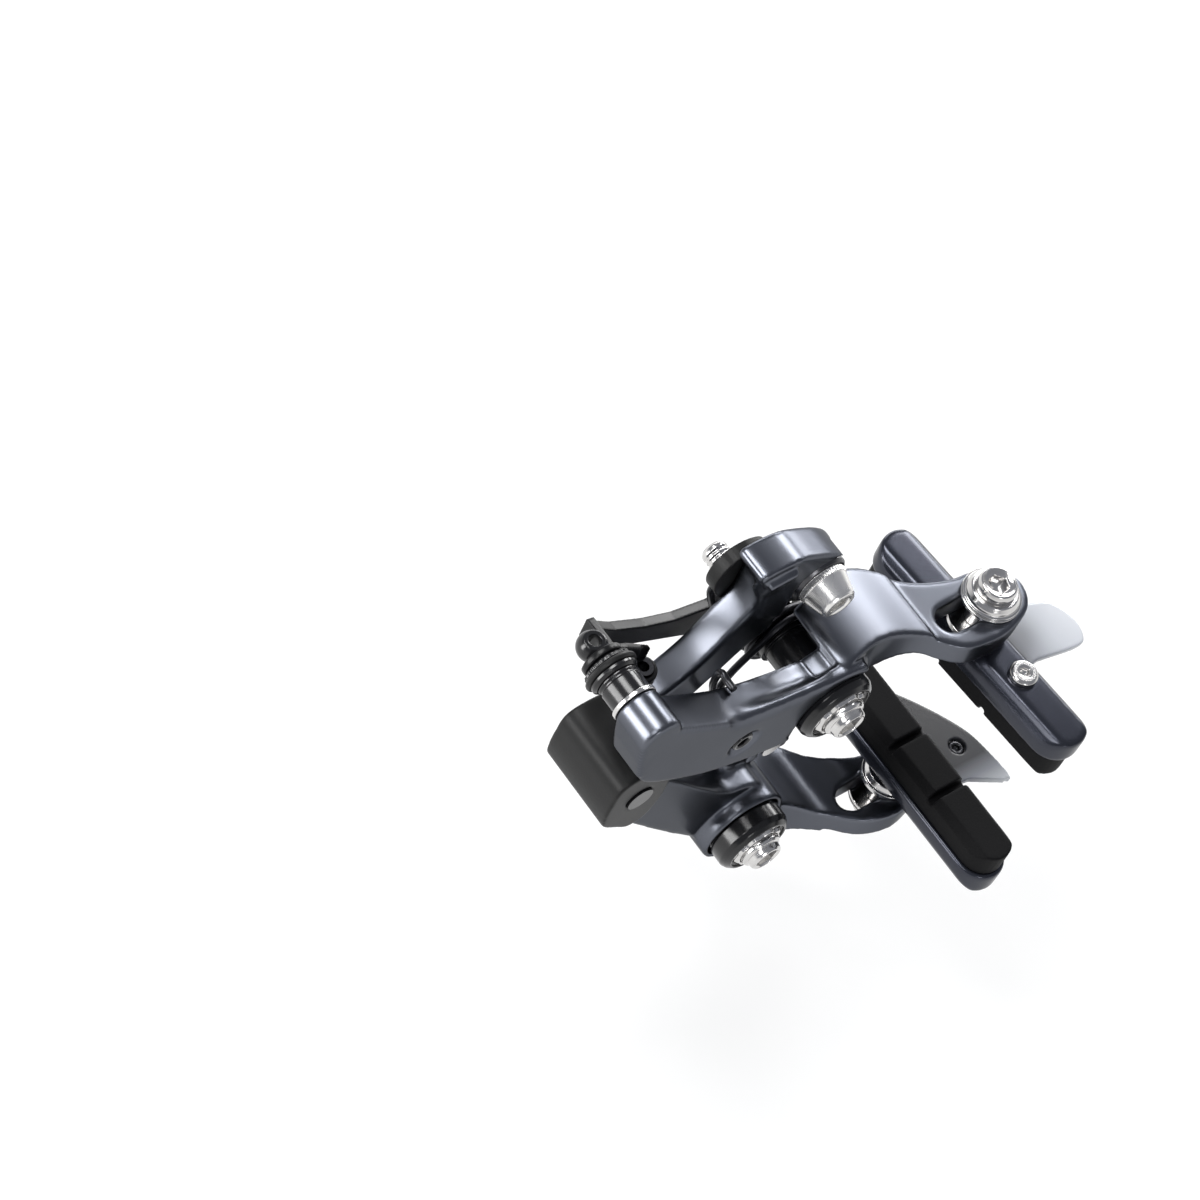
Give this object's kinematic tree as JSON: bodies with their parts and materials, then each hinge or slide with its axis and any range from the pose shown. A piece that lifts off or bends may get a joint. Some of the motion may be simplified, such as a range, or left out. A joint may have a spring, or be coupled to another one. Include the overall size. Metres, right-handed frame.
{
  "type": "bicycle rim brake caliper",
  "caption": "Direct mount rim brake caliper with two crossed arms on their own pivots, a return spring, a cable adjuster and slotted brake shoes.",
  "frame": {"origin": "midway between the two mounting bolts, on the face that lies against the frame", "axes": "+Y along the mounting bolts into the frame, +X toward the wheel rim, +Z sideways from the lower bolt to the upper bolt"},
  "size_m": [0.1259, 0.0769, 0.1078],
  "materials": {
    "arm_anodised": "satin anodised",
    "holder_gloss": "gloss",
    "pad_rubber": "matt",
    "seal_rubber": "matt",
    "fin_plastic": "gloss",
    "black_metal": "black anodised",
    "black_plastic": "satin",
    "dark_steel": "dark oxide",
    "spring_wire": "dark drawn wire",
    "polished_steel": "polished"
  },
  "bodies": {
    "base": {"upper_mount_bolt": "polished_steel", "lower_mount_bolt": "polished_steel", "upper_post": "black_metal", "lower_post": "black_metal", "upper_collar": "black_metal", "lower_collar": "black_metal", "upper_bolt_washer": "polished_steel", "lower_bolt_washer": "polished_steel", "return_spring": "spring_wire"},
    "upper_arm": {"upper_arm": "arm_anodised", "adjuster_sleeve": "black_metal", "sleeve_ring": "polished_steel", "adjuster_bracket": "black_plastic", "bracket_pin": "polished_steel"},
    "centring_screw": {"centring_screw": "black_metal"},
    "adjuster_knob": {"adjuster_knob": "black_metal", "knob_o_ring": "seal_rubber"},
    "cable_eye": {"cable_eye": "black_metal"},
    "lower_arm": {"lower_arm": "arm_anodised", "end_block": "black_plastic", "end_pin": "black_metal", "spring_seat": "black_plastic", "sync_pin": "polished_steel", "clamp_washer": "dark_steel"},
    "clamp_bolt": {"clamp_bolt": "polished_steel"},
    "upper_shoe_bolt": {"upper_shoe_bolt": "polished_steel", "upper_shoe_washers": "polished_steel"},
    "upper_shoe": {"upper_holder": "holder_gloss", "upper_pad": "pad_rubber", "upper_guide_fin": "fin_plastic", "upper_pad_screw": "polished_steel"},
    "lower_shoe_bolt": {"lower_shoe_bolt": "polished_steel", "lower_shoe_washers": "polished_steel"},
    "lower_shoe": {"lower_holder": "holder_gloss", "lower_pad": "pad_rubber", "lower_guide_fin": "fin_plastic", "lower_pad_screw": "polished_steel"}
  },
  "joints": [
    {"name": "lower_arm_pivot", "type": "hinge", "parent": "base", "child": "lower_arm", "pos_m": [0, -0.023, -0.027], "axis": [0, 1, 0], "range_deg": [-10, 0], "stiffness_Nm_per_rad": 1, "springref_deg": 28.65, "deforming": ["return_spring"]},
    {"name": "upper_arm_pivot", "type": "hinge", "parent": "base", "child": "upper_arm", "pos_m": [0, -0.023, 0.027], "axis": [0, 1, 0], "range_deg": [0, 10], "stiffness_Nm_per_rad": 1, "springref_deg": -28.65},
    {"name": "centring_screw_turn", "type": "hinge", "parent": "upper_arm", "child": "centring_screw", "pos_m": [-0.0254, -0.028, 0.031], "axis": [0, 1, 0], "range_deg": [-720, 720]},
    {"name": "adjuster_knob_turn", "type": "hinge", "parent": "upper_arm", "child": "adjuster_knob", "pos_m": [-0.055, -0.0158, 0.0545], "axis": [0, 1, 0], "range_deg": [-720, 720]},
    {"name": "cable_eye_swivel", "type": "hinge", "parent": "upper_arm", "child": "cable_eye", "pos_m": [-0.055, -0.0098, 0.0545], "axis": [0, 1, 0], "range_deg": [-180, 180]},
    {"name": "clamp_bolt_turn", "type": "hinge", "parent": "lower_arm", "child": "clamp_bolt", "pos_m": [-0.0009, -0.014, 0.0506], "axis": [0, 1, 0], "range_deg": [-720, 720]},
    {"name": "upper_shoe_slide", "type": "slide", "parent": "upper_arm", "child": "upper_shoe_bolt", "axis": [1, 0, 0], "range_m": [-0.008, 0.002]},
    {"name": "upper_shoe_turn", "type": "hinge", "parent": "upper_shoe_bolt", "child": "upper_shoe", "pos_m": [0.0405, -0.031, 0.03], "axis": [0, 0, 1], "range_deg": [-8, 8]},
    {"name": "lower_shoe_slide", "type": "slide", "parent": "lower_arm", "child": "lower_shoe_bolt", "axis": [1, 0, 0], "range_m": [-0.008, 0.002]},
    {"name": "lower_shoe_turn", "type": "hinge", "parent": "lower_shoe_bolt", "child": "lower_shoe", "pos_m": [0.0395, -0.0344, -0.03], "axis": [0, 0, 1], "range_deg": [-8, 8]}
  ],
  "couplings": [
    {"joint": "upper_arm_pivot", "follows": "lower_arm_pivot", "ratio": -1}
  ]
}
